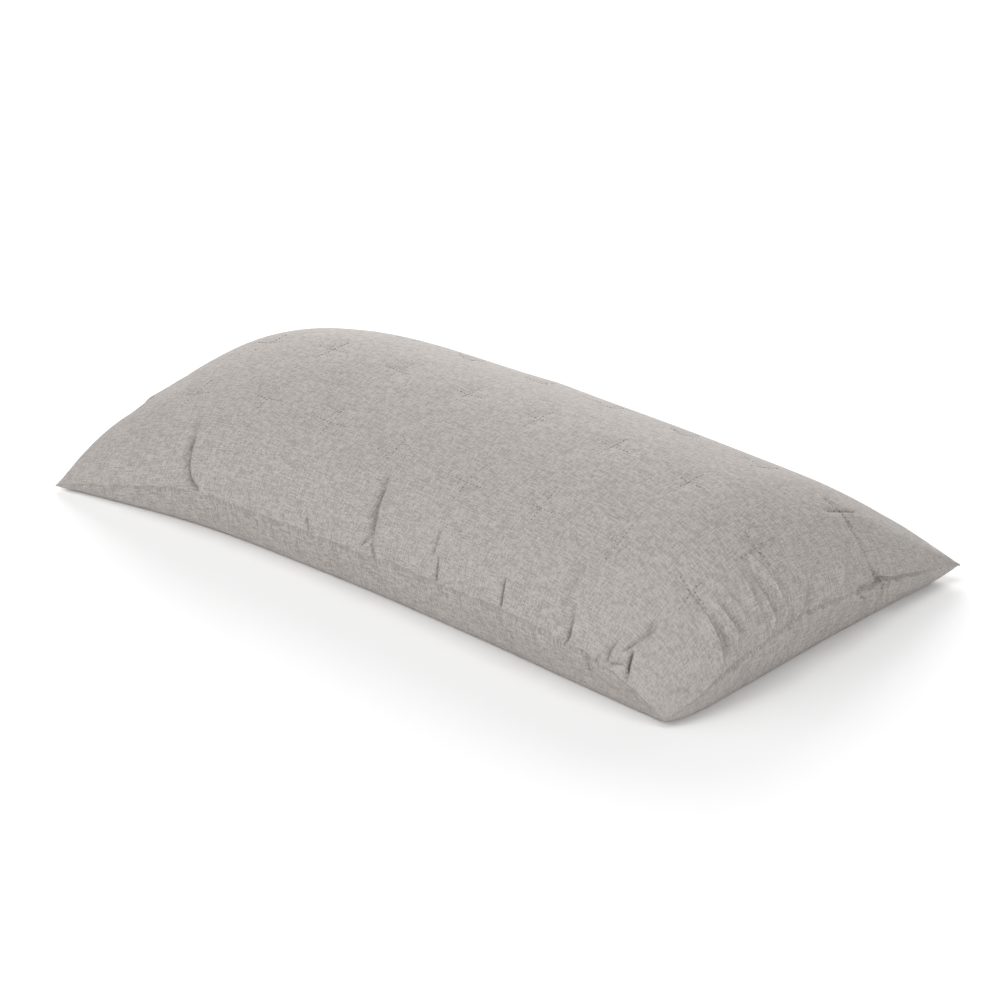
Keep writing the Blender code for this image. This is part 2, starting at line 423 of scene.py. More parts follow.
class ClothFinish(PropertyGroup):
    light_yarn: FloatVectorProperty(
        name="Light yarn",
        description="Colour of the light fibres in the heathered yarn",
        subtype="COLOR",
        default=(0.500, 0.468, 0.442),
    )
    dark_yarn: FloatVectorProperty(
        name="Dark yarn",
        description="Colour of the dark fibres in the heathered yarn",
        subtype="COLOR",
        default=(0.300, 0.276, 0.262),
    )
    thread_pitch: FloatProperty(
        name="Thread pitch",
        description="Distance from one thread of the weave to the next",
        default=0.0006,
        unit="LENGTH",
    )
    fibre_size: FloatProperty(
        name="Fibre size",
        description="Size of the smallest specks in the yarn",
        default=0.00065,
        unit="LENGTH",
    )
    slub_length: FloatProperty(
        name="Slub length",
        description="Length over which a thread changes its tone",
        default=0.0065,
        unit="LENGTH",
    )
    slub_width: FloatProperty(
        name="Slub width",
        description="Distance from one slub to the next one beside it",
        default=0.0007,
        unit="LENGTH",
    )
    slub_share: FloatProperty(
        name="Slub share",
        description="How much the slubs show",
        default=1.5,
    )
    turn_share: FloatProperty(
        name="Turn share",
        description="How much light and dark threads take turns",
        default=1.8,
    )
    fibre_share: FloatProperty(
        name="Fibre share",
        description="How much each crossing of two threads differs by its fibres",
        default=0.7,
    )
    mottle_share: FloatProperty(
        name="Mottle share",
        description="How much the dye is mottled over about a finger's breadth",
        default=0.06,
    )
    # Painted shade along the seam: how much the cloth's colour is darkened there, and over what
    # width, in place of the shadow in the stitching's groove.
    seam_shade: FloatProperty(
        name="Seam shade",
        description="How much darker the cloth is where it is drawn into the seam",
        default=0.5,
    )
    seam_shade_width: FloatProperty(
        name="Seam shade width",
        description="Distance from the seam at which its shade has faded out",
        default=0.0011,
        unit="LENGTH",
    )
    # Partly painted shade: the tack thread is coloured dark so that its stitches also stand in
    # for the shade of the pinched cloth between them.
    stitch_and_shade_colour: FloatVectorProperty(
        name="Stitch colour",
        description="Colour of the tack thread",
        subtype="COLOR",
        default=(0.15, 0.135, 0.125),
    )


class StageSettings(PropertyGroup):
    azimuth: FloatProperty(
        name="Azimuth",
        description="Angle of the camera round the pillow",
        default=math.radians(42.5),
        subtype="ANGLE",
    )
    elevation: FloatProperty(
        name="Elevation",
        description="Angle of the camera above the surface",
        default=math.radians(24.0),
        subtype="ANGLE",
    )
    distance: FloatProperty(
        name="Distance",
        description="From the camera to the middle of the pillow",
        default=1.8,
        unit="LENGTH",
    )
    lens: FloatProperty(
        name="Lens",
        description="Focal length of the camera in millimetres",
        default=88.0,
    )
    floor_colour: FloatVectorProperty(
        name="Floor colour",
        description="Colour of the plain floor",
        subtype="COLOR",
        default=(0.95, 0.95, 0.95),
    )
    key_power: FloatProperty(
        name="Key power",
        description="Power of the key softbox",
        default=41.0,
        unit="POWER",
    )
    softbox_size: FloatProperty(
        name="Softbox size",
        description="Diameter of each round softbox",
        default=1.4,
        unit="LENGTH",
    )
    softbox_distance: FloatProperty(
        name="Softbox distance",
        description="From each softbox to the middle of the pillow",
        default=2.2,
        unit="LENGTH",
    )
    fill_light: FloatProperty(
        name="Fill light",
        description="Strength of the even light from all round",
        default=0.325,
    )


# ---------------------------------------------------------------- the pillow's form


def curve_through(places, heights, where):
    """Smooth curve through the heights at the given places."""
    places, heights = np.array(places), np.array(heights)
    slopes = np.gradient(heights, places)
    left = np.clip(np.searchsorted(places, where, side="right") - 1, 0, len(places) - 2)
    gap = places[left + 1] - places[left]
    u = (where - places[left]) / gap
    return (
        (2 * u**3 - 3 * u**2 + 1) * heights[left]
        + (u**3 - 2 * u**2 + u) * gap * slopes[left]
        + (3 * u**2 - 2 * u**3) * heights[left + 1]
        + (u**3 - u**2) * gap * slopes[left + 1]
    )


def seam_sheet(along, across, sizes):
    """The sheet that spans the four seams, as x, y and z."""
    to_right, to_back = (1 + along) / 2, (1 + across) / 2
    to_left, to_front = 1 - to_right, 1 - to_back
    first, last = SIDE_SEAMS[0], SIDE_SEAMS[-1]
    sides = [row.at for row in SIDE_SEAMS]
    ends = [-1] + [row.at for row in END_SEAMS] + [1]
    front = curve_through(sides, [row.front for row in SIDE_SEAMS], along)
    back = curve_through(sides, [row.back for row in SIDE_SEAMS], along)
    left_heights = [first.front] + [row.left for row in END_SEAMS] + [first.back]
    right_heights = [last.front] + [row.right for row in END_SEAMS] + [last.back]
    left = curve_through(ends, left_heights, across)
    right = curve_through(ends, right_heights, across)
    corners = to_front * (to_left * first.front + to_right * last.front)
    corners += to_back * (to_left * first.back + to_right * last.back)
    z = to_front * front + to_back * back + to_left * left + to_right * right - corners

    side_pull = 1 - np.abs(along) ** SIDE_CURVE
    end_pull = 1 - np.abs(across) ** END_CURVE
    ear = (np.clip(along, 0, 1) * np.clip(-across, 0, 1)) ** EAR_REACH
    x = along * (sizes.length / 2 - END_DRAW_IN * end_pull) - EAR_TUCK_X * ear
    pull = to_front * FRONT_DRAW_IN - to_back * BACK_DRAW_IN
    y = across * sizes.width / 2 + pull * side_pull + EAR_TUCK_Y * ear
    return x, y, z


def rest_on_surface(z, seam_z):
    """Flattens what would sink below the surface, with a soft edge where it meets it. The edge
    is sharper at the ears, where the seam itself lies lower than the rounding, and what comes
    very close to the surface lies flat on it."""
    rounding = np.minimum(REST_ROUNDING, seam_z)
    eased = (z + rounding) ** 2 / (4 * rounding)
    rests = (z < -rounding) | (eased < REST_EDGE)
    return np.where(z > rounding, z, np.where(rests, 0.0, eased))


def filled_panel(along, across, top, sizes):
    """Points of the top or the back panel, filled out and without its creases."""
    x, y, z = seam_sheet(along, across, sizes)
    lengthwise = 1 - np.abs(along) ** CROWN_END_SHARPNESS
    crosswise = 1 - np.abs(across) ** CROWN_SIDE_SHARPNESS
    if top:
        bend = CROWN_SIDE_BEND + CROWN_SIDE_BEND_AT_ENDS * np.abs(along) ** 3
        z = z + sizes.crown * lengthwise**CROWN_END_BEND * crosswise**bend
    else:
        z = rest_on_surface(z - BELLY * (lengthwise * crosswise) ** BELLY_BEND, z)
    return np.stack([x, y, z], axis=-1)


class Cut:
    """The top panel as it is cut: how far along the cloth each share of the panel lies."""

    def __init__(self, sizes):
        self.shares = np.linspace(-1, 1, LINE_POINTS)
        middle = np.zeros(LINE_POINTS)
        self.u = self.run_of(filled_panel(self.shares, middle, True, sizes))
        self.v = self.run_of(filled_panel(middle, self.shares, True, sizes))

    def run_of(self, line):
        """Distance along a line of points, from minus half its length to plus half of it."""
        steps = np.linalg.norm(np.diff(line, axis=0), axis=1)
        run = np.concatenate([[0.0], np.cumsum(steps)])
        return run - run[-1] / 2

    def shares_at(self, u, v):
        along = np.interp(u, self.u, self.shares)
        across = np.interp(v, self.v, self.shares)
        return along, across

    def off_seam(self, u, v):
        """Distance to the nearest seam, on the cloth."""
        return np.minimum(self.u[-1] - np.abs(u), self.v[-1] - np.abs(v))


# ---------------------------------------------------------------- mesh helpers


def deselect_all():
    if bpy.context.object and bpy.context.object.mode != "OBJECT":
        bpy.ops.object.mode_set(mode="OBJECT")
    bpy.ops.object.select_all(action="DESELECT")


def select_only(*objects):
    deselect_all()
    for obj in objects:
        obj.select_set(True)
    bpy.context.view_layer.objects.active = objects[0]


def points_of(mesh):
    points = np.empty(len(mesh.vertices) * 3)
    mesh.vertices.foreach_get("co", points)
    return points.reshape(-1, 3)


def move_points(mesh, points):
    mesh.vertices.foreach_set("co", points.ravel())
    mesh.update()


def normals_of(mesh):
    normals = np.empty(len(mesh.vertices) * 3)
    mesh.vertices.foreach_get("normal", normals)
    return normals.reshape(-1, 3)


# ---------------------------------------------------------------- cover


def cloth_panel(name, top, cut, sizes):
    """One panel as a grid of cloth, filled out, with its places on the cloth as its UV map."""
    deselect_all()
    bpy.ops.mesh.primitive_grid_add(
        x_subdivisions=CELLS_ALONG, y_subdivisions=CELLS_ACROSS, size=2
    )
    panel = bpy.context.object
    panel.name = name
    flat = np.clip(points_of(panel.data)[:, :2], -1, 1)
    flat += RIM_CROWDING * (flat - flat**3)
    u, v = flat[:, 0] * cut.u[-1], flat[:, 1] * cut.v[-1]
    along, across = cut.shares_at(u, v)
    move_points(panel.data, filled_panel(along, across, top, sizes))

    corners = np.empty(len(panel.data.loops), dtype=int)
    panel.data.loops.foreach_get("vertex_index", corners)
    layer = panel.data.uv_layers[0]
    layer.name = CLOTH_MAP
    places = np.stack([u, v if top else v + BACK_MAP_SHIFT], axis=-1)[corners]
    layer.uv.foreach_set("vector", places.ravel())
    return panel


def sew_cover(cut, sizes):
    """Joins the two panels and merges them along the rim into one closed cover."""
    top = cloth_panel("pillow_cover", True, cut, sizes)
    back = cloth_panel("back_panel", False, cut, sizes)
    back.data.flip_normals()
    select_only(top, back)
    bpy.ops.object.join()
    bpy.ops.object.mode_set(mode="EDIT")
    bpy.ops.mesh.select_all(action="SELECT")
    bpy.ops.mesh.remove_doubles(threshold=SEW_DISTANCE)
    bpy.ops.object.mode_set(mode="OBJECT")
    return top


def corner_places(mesh):
    """Each face corner's place on the cloth map."""
    places = np.empty(len(mesh.loops) * 2)
    mesh.uv_layers[CLOTH_MAP].uv.foreach_get("vector", places)
    return places.reshape(-1, 2)


def on_panels(places):
    """Places on the map as u and v on their own panel, and whether that is the top one."""
    u, v = places[:, 0], places[:, 1]
    on_top = v < BACK_MAP_SHIFT / 2
    return u, np.where(on_top, v, v - BACK_MAP_SHIFT), on_top


def cloth_places(mesh):
    """Each point's place on the cloth, u and v, and whether it is on the top panel."""
    corners = np.empty(len(mesh.loops), dtype=int)
    mesh.loops.foreach_get("vertex_index", corners)
    at_points = np.empty((len(mesh.vertices), 2))
    at_points[corners] = corner_places(mesh)
    return on_panels(at_points)


def smoothed(values, mesh, rounds):
    """Evens values out over the mesh: each round mixes a point with its neighbours."""
    ends = np.empty(len(mesh.edges) * 2, dtype=int)
    mesh.edges.foreach_get("vertices", ends)
    one, other = ends.reshape(-1, 2).T
    count = len(mesh.vertices)
    neighbours = np.bincount(ends, minlength=count)
    for _ in range(rounds):
        sums = [
            np.bincount(one, column[other], count) + np.bincount(other, column[one], count)
            for column in values.T
        ]
        values = (values + np.stack(sums, axis=-1) / neighbours[:, None]) / 2
    return values


def settle_cloth(cover, filling):
    """Points of the cover after the filling has pressed its cloth out for some frames."""
    press = cover.modifiers.new("Filling", "CLOTH")
    press.settings.quality = 5
    press.settings.tension_stiffness = filling.stretch
    press.settings.compression_stiffness = filling.stretch
    press.settings.shear_stiffness = filling.stretch / 2
    press.settings.bending_stiffness = filling.bending
    press.settings.use_pressure = True
    press.settings.uniform_pressure_force = filling.pressure
    press.settings.effector_weights.gravity = 0
    scene = bpy.context.scene
    for step in range(1, filling.frames + 1):
        scene.frame_set(step)
    settled = cover.evaluated_get(bpy.context.evaluated_depsgraph_get())
    points = points_of(settled.data)
    cover.modifiers.remove(press)
    scene.frame_set(1)
    return points


def fill_cover(cover, filling):
    """Settles the cloth round its soft creases. The pillow keeps the broad form that it has,
    so only the wrinkles of the simulation are kept, and they fade out where it rests."""
    mesh = cover.data
    form = points_of(mesh)
    u, v, on_top = cloth_places(mesh)
    soft = crease_heights(u, v, on_top, True)
    move_points(mesh, form + normals_of(mesh) * soft[:, None])
    moves = settle_cloth(cover, filling) - form
    moves -= smoothed(moves, mesh, filling.broad_rounds)
    size = np.linalg.norm(moves, axis=1, keepdims=True)
    moves *= np.minimum(1, filling.most_move / np.maximum(size, 1e-9))
    moves *= np.where(on_top, 1, np.clip(form[:, 2] / CLEAR_HEIGHT, 0, 1))[:, None]
    wrinkles = mesh.attributes.new(WRINKLES, "FLOAT_VECTOR", "POINT")
    wrinkles.data.foreach_set("vector", moves.ravel())


def halve_cells(cover, test):
    """Subdivides the faces whose first corner passes a test on its place on the cloth."""
    mesh = cover.data
    first = np.empty(len(mesh.polygons), dtype=int)
    mesh.polygons.foreach_get("loop_start", first)
    u, v, on_top = on_panels(corner_places(mesh)[first])
    bpy.context.tool_settings.mesh_select_mode = (False, False, True)
    select_only(cover)
    bpy.ops.object.mode_set(mode="EDIT")
    bpy.ops.mesh.select_all(action="DESELECT")
    bpy.ops.object.mode_set(mode="OBJECT")
    mesh.polygons.foreach_set("select", test(u, v, on_top))
    bpy.ops.object.mode_set(mode="EDIT")
    bpy.ops.mesh.subdivide(number_cuts=1)
    bpy.ops.object.mode_set(mode="OBJECT")


def refine_cover(cover, cut, sizes):
    """Halves the top's cells, halves them again at the seam and the creases, and lays them
    on the form."""
    halve_cells(cover, lambda u, v, on_top: on_top | (cut.off_seam(u, v) < 2 * FINE_SEAM))
    halve_cells(
        cover,
        lambda u, v, on_top: is_creased(u, v, on_top, FINE_REACH)
        | (cut.off_seam(u, v) < FINE_SEAM),
    )
    halve_cells(cover, lambda u, v, on_top: is_creased(u, v, on_top, FINEST_REACH))
    mesh = cover.data
    u, v, on_top = cloth_places(mesh)
    along, across = cut.shares_at(u, v)
    form = np.where(
        on_top[:, None],
        filled_panel(along, across, True, sizes),
        filled_panel(along, across, False, sizes),
    )
    wrinkles = np.empty(len(mesh.vertices) * 3)
    mesh.attributes[WRINKLES].data.foreach_get("vector", wrinkles)
    move_points(mesh, form + smoothed(wrinkles.reshape(-1, 3), mesh, 2))
    mesh.attributes.remove(mesh.attributes[WRINKLES])


# ---------------------------------------------------------------- creases


def crease_profile(away):
    """Section across a crease: the cloth on its two sides bulges and meets in a sharp middle,
    with a lip of pushed-up cloth beside it."""
    lip = CREASE_LIP * np.exp(-((away - CREASE_LIP_AT) ** 2))
    return np.exp(-away) - lip


def crease_line(crease):
    """Points along a crease: a curve through its foot, middle and head."""
    share = np.linspace(0, 1, CREASE_STEPS + 1)[:, None]
    foot = np.array([crease.foot_u, crease.foot_v])
    middle = np.array([crease.mid_u, crease.mid_v])
    head = np.array([crease.head_u, crease.head_v])
    bend = 2 * (foot + head - 2 * middle)
    return foot + (head - foot) * share + bend * share * (share - 1)


def beside_crease(crease, reach, u, v, on_top):
    """Which points lie near a crease, how far from it, and at what share of its length."""
    line = crease_line(crease)
    low, high = line.min(axis=0) - reach, line.max(axis=0) + reach
    near = (u > low[0]) & (u < high[0]) & (v > low[1]) & (v < high[1])
    near &= on_top if crease.panel == "top" else ~on_top
    here = np.stack([u[near], v[near]], axis=-1)
    nearest = np.full(len(here), np.inf)
    share = np.zeros(len(here))
    for step in range(CREASE_STEPS):
        start, run = line[step], line[step + 1] - line[step]
        on_run = np.clip(((here - start) @ run) / (run @ run), 0, 1)
        away = np.linalg.norm(here - start - on_run[:, None] * run, axis=1)
        closer = away < nearest
        nearest[closer] = away[closer]
        share[closer] = (step + on_run[closer]) / CREASE_STEPS
    return near, nearest, share


def crease_heights(u, v, on_top, soft):
    """Height of the creases in metres off the panel: their soft part, or the sharp rest."""
    heights = np.zeros_like(u)
    for crease in CREASES:
        share_here = SOFT_SHARE if crease.half_width >= BROAD_CREASE else 0.0
        height = crease.height * (share_here if soft else 1 - share_here)
        half_width = crease.half_width * (SOFT_WIDENING if soft else 1)
        near, away, share = beside_crease(crease, CREASE_REACH * half_width, u, v, on_top)
        rise = CREASE_FOOT_FADE + (1 - CREASE_FOOT_FADE) * share
        fade = np.sin(np.pi * rise) ** CREASE_FADE_BEND
        heights[near] += height * fade * crease_profile(away / half_width)
    return heights


def is_creased(u, v, on_top, reach):
    """Whether each place lies close enough to a crease to need finer cells."""
    found = np.zeros(len(u), dtype=bool)
    for crease in CREASES:
        near, away, _ = beside_crease(crease, reach, u, v, on_top)
        found[near] |= away < reach
    return found


def tack_places():
    """Middle of each cross on the cloth, and how deep its arms pull the cloth in."""
    uneven = {(tack.column, tack.row): tack for tack in UNEVEN_TACKS}
    for column in range(TACK_COLUMNS):
        for row, v in enumerate(TACK_ROWS_V):
            tack = uneven.get((column, row), Tack(column, row, 0.0, 0.0, TACK_PULL))
            u = TACK_FIRST_U + column * TACK_STEP_U
            yield u + tack.shift_u, v + tack.shift_v, tack.pull


def tack_heights(u, v, sizes):
    """Depth of the dimples round the tack crosses, and of the dents under their arms."""
    heights = np.zeros_like(u)
    for tack_u, tack_v, pull in tack_places():
        off_u, off_v = np.abs(u - tack_u), np.abs(v - tack_v)
        away = off_u**2 + off_v**2
        heights -= sizes.tack_depth * np.exp(-away / sizes.tack_radius**2)
        past_u, past_v = np.maximum(off_u - ARM_ALONG, 0), np.maximum(off_v - ARM_ACROSS, 0)
        arm_along = np.exp(-np.hypot(off_v, past_u) / sizes.arm_reach)
        arm_across = np.exp(-np.hypot(off_u, past_v) / sizes.arm_reach)
        heights -= pull * np.maximum(arm_along, arm_across)
    return heights


def soft_noise(where, seed):
    """Smooth noise along a line, one wave to each unit, from about -1 to 1."""
    generator = np.random.default_rng(seed)
    heights = generator.uniform(-1, 1, NOISE_POINTS)
    cell = np.floor(where).astype(int)
    part = where - cell
    part = part * part * (3 - 2 * part)
    return heights[cell % NOISE_POINTS] * (1 - part) + heights[(cell + 1) % NOISE_POINTS] * part


def seam_heights(u, v, cut, sizes):
    """The groove that the stitching pulls in along the seam, and the small gathers beside it."""
    off_side = cut.v[-1] - np.abs(v)
    off_end = cut.u[-1] - np.abs(u)
    off_seam = np.minimum(off_side, off_end)
    edge = sizes.seam_edge * np.exp(-off_seam / sizes.seam_reach)
    along_seam = np.where(off_side < off_end, u, v + END_RUN_START)
    uneven = soft_noise(along_seam / UNEVEN_LENGTH, GROOVE_SEED)
    depth = sizes.seam_groove * (GROOVE_MEAN + GROOVE_SPREAD * uneven)
    groove = depth * np.exp(-off_seam / sizes.groove_reach)
    side_noise = soft_noise(u / GATHER_LENGTH + SIDE_NOISE_START * np.sign(v), SIDE_SEED)
    end_noise = soft_noise(v / GATHER_LENGTH + END_NOISE_START * np.sign(u), END_SEED)
    side_gathers = side_noise * np.exp(-off_side / GATHER_REACH)
    end_gathers = end_noise * np.exp(-off_end / GATHER_REACH)
    rise = 1 - np.exp(-off_seam / GATHER_RISE)
    return edge - groove + sizes.pucker * rise * (side_gathers + end_gathers)


def crease_cover(cover, cut, sizes):
    """Moves the cover's points off its form by its creases, tacks and seam."""
    mesh = cover.data
    u, v, on_top = cloth_places(mesh)
    heights = crease_heights(u, v, on_top, False)
    heights += seam_heights(u, v, cut, sizes)
    heights += np.where(on_top, tack_heights(u, v, sizes), 0)
    points = points_of(mesh)
    clear = np.clip(points[:, 2] / CLEAR_HEIGHT, 0, 1)
    points += normals_of(mesh) * (heights * np.where(on_top, 1, clear))[:, None]
    points[:, 2] = np.maximum(points[:, 2], 0)
    move_points(mesh, points)


# ---------------------------------------------------------------- shader maths


class Term:
    """A socket that can be used in sums. An operator on it adds its Math node."""

    def __init__(self, tree, socket=None):
        self.tree = tree
        self.socket = socket

    def node(self, kind, settings, sockets):
        """Adds a node: its settings first, then the values or links of its sockets."""
        made = self.tree.nodes.new(kind)
        for name, value in settings.items():
            if name == "stops":
                self.set_stops(made.color_ramp, value)
            else:
                setattr(made, name, value)
        for name, value in sockets.items():
            if isinstance(value, Term):
                self.tree.links.new(value.socket, made.inputs[name])
            else:
                made.inputs[name].default_value = value
        return Term(self.tree, made.outputs[0])

    def set_stops(self, ramp, stops):
        while len(ramp.elements) < len(stops):
            ramp.elements.new(1.0)
        for element, (position, shade) in zip(ramp.elements, stops):
            element.position = position
            element.color = (shade, shade, shade, 1.0)

    def out(self, name):
        """Another output of the same node."""
        return Term(self.tree, self.socket.node.outputs[name])

    def maths(self, operation, first, second=0.0):
        return self.node("ShaderNodeMath", {"operation": operation}, {0: first, 1: second})

    def __add__(self, other):
        return self.maths("ADD", self, other)

    def __radd__(self, other):
        return self.maths("ADD", other, self)

    def __sub__(self, other):
        return self.maths("SUBTRACT", self, other)

    def __rsub__(self, other):
        return self.maths("SUBTRACT", other, self)

    def __mul__(self, other):
        return self.maths("MULTIPLY", self, other)

    def __rmul__(self, other):
        return self.maths("MULTIPLY", other, self)

    def __truediv__(self, other):
        return self.maths("DIVIDE", self, other)

    def blend(self, first, second):
        """Mixes two colours by this value."""
        sockets = {0: self, 6: first, 7: second}
        mixed = self.node("ShaderNodeMix", {"data_type": "RGBA"}, sockets)
        return Term(self.tree, mixed.socket.node.outputs[2])


def colour(rgb):
    return (*rgb, 1.0)


# ---------------------------------------------------------------- finishes


def slubs(run, across, finish, seed):
    """Tone of the threads of one direction: light and dark ones take turns side by side, and
    each swells and fades as it runs."""
    sockets = {"X": run / finish.slub_length, "Y": across / finish.slub_width, "Z": seed}
    place = run.node("ShaderNodeCombineXYZ", {}, sockets)
    noise = {"Vector": place, "Scale": 1.0, "Detail": 1.0, "Roughness": 0.5}
    swell = run.node("ShaderNodeTexNoise", {}, noise) - 0.5
    turn = run.maths("SINE", across * (math.pi / finish.thread_pitch))
    return swell * (turn * finish.turn_share + finish.slub_share)


def heathered_cloth(cut, finish):
    """Plain weave of heathered yarn: light and dark fibres, uneven along every thread, with
    painted shade darkening the colour where the cloth is drawn into the seam."""
    material = bpy.data.materials.new("heathered_cloth")
    material.use_nodes = True
    shader = material.node_tree.nodes["Principled BSDF"]
    start = Term(material.node_tree)
    links = material.node_tree.links

    place = start.node("ShaderNodeUVMap", {"uv_map": CLOTH_MAP}, {})
    parts = start.node("ShaderNodeSeparateXYZ", {}, {"Vector": place})
    u, v = parts.out("X"), parts.out("Y")

    weft = slubs(u, v, finish, WEFT_SEED)
    warp = slubs(v, u, finish, WARP_SEED)
    column = start.maths("FLOOR", u / finish.fibre_size)
    row = start.maths("FLOOR", v / finish.fibre_size)
    crossing = start.node("ShaderNodeCombineXYZ", {}, {"X": column, "Y": row})
    fibres = start.node("ShaderNodeTexWhiteNoise", {}, {"Vector": crossing})
    spread = {"Vector": place, "Scale": MOTTLE_SCALE, "Detail": 2.0}
    mottle = start.node("ShaderNodeTexNoise", {}, spread)
    tone = weft + warp + (fibres - 0.5) * finish.fibre_share
    # Painted shade: the colour is darkened in a thin band along the seam. It stands in for the
    # shadow in the groove that the stitching pulls in, broken up by the mottle.
    on_back = start.maths("GREATER_THAN", v, BACK_MAP_SHIFT / 2)
    off_side = cut.v[-1] - start.maths("ABSOLUTE", v - on_back * BACK_MAP_SHIFT)
    off_end = cut.u[-1] - start.maths("ABSOLUTE", u)
    off_seam = start.maths("MINIMUM", off_side, off_end)
    painted_seam_shade = start.maths("MAXIMUM", 1 - off_seam / finish.seam_shade_width, 0.0)
    share = 0.5 + tone + (mottle - 0.5) * finish.mottle_share
    share = share - painted_seam_shade * mottle * finish.seam_shade
    yarn = share.blend(colour(finish.dark_yarn), colour(finish.light_yarn))
    links.new(yarn.socket, shader.inputs["Base Color"])

    turn = math.pi / finish.thread_pitch
    wave = start.maths("SINE", u * turn) * start.maths("SINE", v * turn)
    height = start.maths("ABSOLUTE", wave) + fibres + tone
    relief = {"Strength": WEAVE_BUMP, "Distance": WEAVE_RELIEF, "Height": height}
    bump = start.node("ShaderNodeBump", {}, relief)
    links.new(bump.socket, shader.inputs["Normal"])
    shader.inputs["Roughness"].default_value = CLOTH_ROUGHNESS
    shader.inputs["Specular IOR Level"].default_value = CLOTH_SPECULAR
    return material


def tack_thread(finish):
    """Twisted cotton thread. Its colour is partly its own and partly painted shade: it is made
    dark to stand in for the shade of the pinched cloth between the stitches.
    """
    material = bpy.data.materials.new("tack_thread")
    material.use_nodes = True
    shader = material.node_tree.nodes["Principled BSDF"]
    start = Term(material.node_tree)
    place = start.node("ShaderNodeTexCoord", {}, {}).out("Object")
    fibres = start.node("ShaderNodeTexNoise", {}, {"Vector": place, "Scale": THREAD_SCALE})
    dark = tuple(THREAD_SHADE * value for value in finish.stitch_and_shade_colour)
    tone = fibres.blend(colour(dark), colour(finish.stitch_and_shade_colour))
    material.node_tree.links.new(tone.socket, shader.inputs["Base Color"])
    shader.inputs["Roughness"].default_value = THREAD_ROUGHNESS
    return material


# ---------------------------------------------------------------- tack stitches


def one_stitch(length, thickness):
    """A grain of thread along X, with ends that dip into the cloth."""
    deselect_all()
    bpy.ops.mesh.primitive_uv_sphere_add(
        segments=STITCH_SEGMENTS, ring_count=STITCH_SEGMENTS, radius=1
    )
    stitch = bpy.context.object
    points = points_of(stitch.data)[:, [2, 0, 1]]
    points *= (length / 2, thickness / 2, thickness / 2)
    points[:, 2] -= STITCH_DIP * thickness * (points[:, 0] / (length / 2)) ** 2
    move_points(stitch.data, points)
    select_only(stitch)
    bpy.ops.object.mode_set(mode="EDIT")
    bpy.ops.mesh.select_all(action="SELECT")
    bpy.ops.mesh.normals_make_consistent(inside=False)
    bpy.ops.object.mode_set(mode="OBJECT")
    bpy.ops.object.shade_smooth()
    return stitch


def stitch_places(pitch):
    """Middle of each stitch on the cloth, and whether its arm runs along the panel."""
    for tack_u, tack_v, _ in tack_places():
        for step in range(STITCHES_ALONG):
            yield tack_u + (step - (STITCHES_ALONG - 1) / 2) * pitch, tack_v, True
        for step in range(STITCHES_ACROSS):
            yield tack_u, tack_v + (step - (STITCHES_ACROSS - 1) / 2) * pitch, False


def lay_stitches(cover, cut, sizes):
    """Lays a stitch at each place on the cloth, and joins them into one piece."""
    surface = BVHTree.FromObject(cover, bpy.context.evaluated_depsgraph_get())
    pattern = one_stitch(sizes.stitch_length, sizes.stitch_thickness)
    generator = np.random.default_rng(STITCH_SEED)
    laid = []
    for u, v, is_along in stitch_places(sizes.stitch_pitch):
        spots = []
        for step in (0, STEP_AHEAD):
            share = cut.shares_at(u + step * is_along, v + step * (not is_along))
            spots.append(Vector(filled_panel(*map(np.float64, share), True, sizes)))
        place, normal = surface.find_nearest(spots[0])[:2]
        run = spots[1] - spots[0]
        run = (run - normal * run.dot(normal)).normalized()
        turn = Matrix((run, normal.cross(run), normal)).transposed().to_4x4()
        stitch = pattern.copy()
        stitch.data = pattern.data.copy()
        lift = sizes.stitch_thickness * generator.uniform(STITCH_LOWEST, STITCH_HIGHEST)
        stitch.matrix_world = Matrix.Translation(place + normal * lift) @ turn
        bpy.context.collection.objects.link(stitch)
        laid.append(stitch)
    bpy.data.objects.remove(pattern)
    select_only(*laid)
    bpy.ops.object.join()
    stitches = bpy.context.object
    bpy.ops.object.transform_apply(location=True, rotation=True, scale=True)
    stitches.name = "tack_stitches"
    return stitches


# ---------------------------------------------------------------- operators


class PILLOW_OT_cover(Operator):
    """Sew the cover from two panels, fill it and crease it"""

    bl_idname = "pillow.cover"
    bl_label = "Pillow cover"

    def execute(self, context):
        sizes = context.scene.pillow_sizes
        cut = Cut(sizes)
        cover = sew_cover(cut, sizes)
        fill_cover(cover, context.scene.pillow_filling)
        refine_cover(cover, cut, sizes)
        crease_cover(cover, cut, sizes)
        bpy.ops.object.shade_smooth()
        cover.data.materials.clear()
        cover.data.materials.append(heathered_cloth(cut, context.scene.pillow_finish))
        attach(cover, "root")
        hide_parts(SOLID)
        return {"FINISHED"}


class PILLOW_OT_tacks(Operator):
    """Stitch the tack crosses through the top panel"""

    bl_idname = "pillow.tacks"
    bl_label = "Tack stitches"

    def execute(self, context):
        sizes = context.scene.pillow_sizes
        cover = bpy.data.objects["pillow_cover"]
        stitches = lay_stitches(cover, Cut(sizes), sizes)
        stitches.data.materials.clear()
        stitches.data.materials.append(tack_thread(context.scene.pillow_finish))
        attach(stitches, "root")
        return {"FINISHED"}


def direction(azimuth, elevation):
    """Direction out from the pillow: azimuth 0 is out of its front side, and 90 its right end."""
    out = math.cos(elevation)
    return Vector((math.sin(azimuth) * out, -math.cos(azimuth) * out, math.sin(elevation)))


def area_light(box, stage):
    light = bpy.data.lights.new(box.name, "AREA")
    light.shape = "DISK"
    light.size = stage.softbox_size
    light.energy = box.share * stage.key_power
    lamp = bpy.data.objects.new(box.name, light)
    out = direction(math.radians(box.azimuth), math.radians(box.elevation))
    lamp.location = Vector(AIM) + out * stage.softbox_distance
    lamp.rotation_euler = out.to_track_quat("Z", "Y").to_euler()
    bpy.context.collection.objects.link(lamp)


